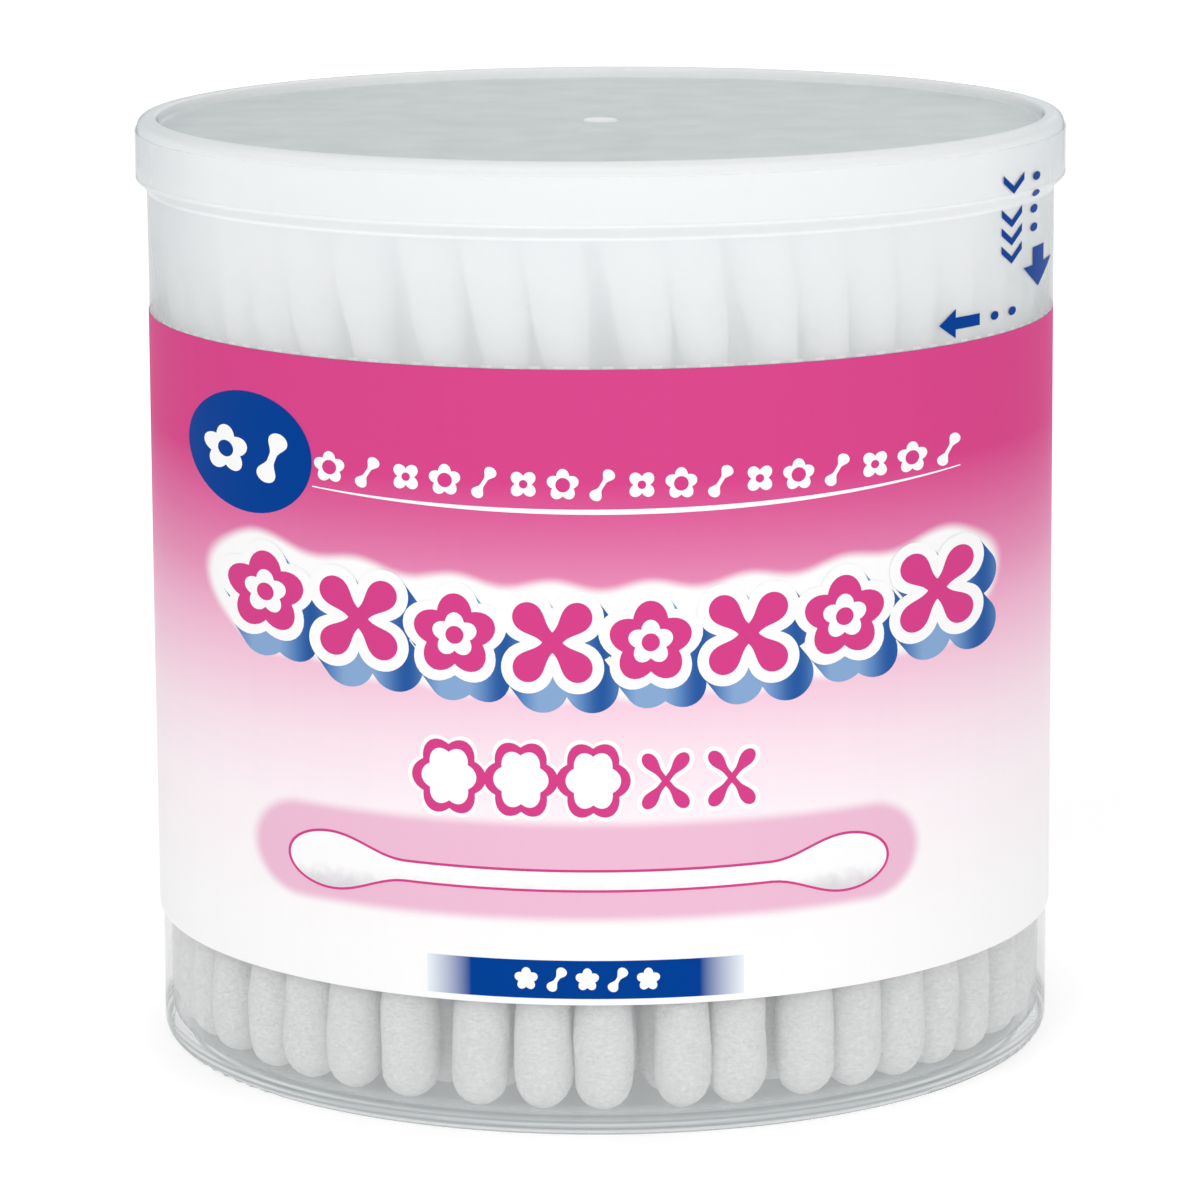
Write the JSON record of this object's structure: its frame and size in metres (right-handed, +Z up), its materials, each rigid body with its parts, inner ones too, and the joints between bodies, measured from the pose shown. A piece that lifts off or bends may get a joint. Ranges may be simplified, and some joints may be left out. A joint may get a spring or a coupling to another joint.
{
  "type": "cotton swab tub",
  "caption": "Round clear plastic tub filled with upright paper-stick cotton swabs, with a printed film sleeve, a clear tear strip and a pull-off lid.",
  "frame": {"origin": "centre of the tub's foot ring, on the surface that it stands on", "axes": "+Z up along the tub's axis, -Y towards the front of the label"},
  "size_m": [0.082, 0.082, 0.082],
  "materials": {
    "clear_plastic": "clear, gloss",
    "frosted_plastic": "frosted, satin",
    "printed_film": "printed, gloss",
    "clear_film": "clear, gloss",
    "paper_stick": "matt",
    "cotton": "wound fibre, matt"
  },
  "bodies": {
    "filled_tub": {"tub": "clear_plastic", "printed_label": "printed_film", "outer_sticks": "paper_stick", "inner_sticks": "paper_stick", "outer_lower_tips": "cotton", "outer_upper_tips": "cotton", "inner_lower_tips": "cotton", "inner_upper_tips": "cotton"},
    "lid": {"lid": "frosted_plastic", "tear_strip": "clear_film"}
  },
  "joints": [
    {"name": "lid_lift", "type": "slide", "parent": "filled_tub", "child": "lid", "axis": [0, 0, 1], "range_m": [0, 0.06]}
  ]
}
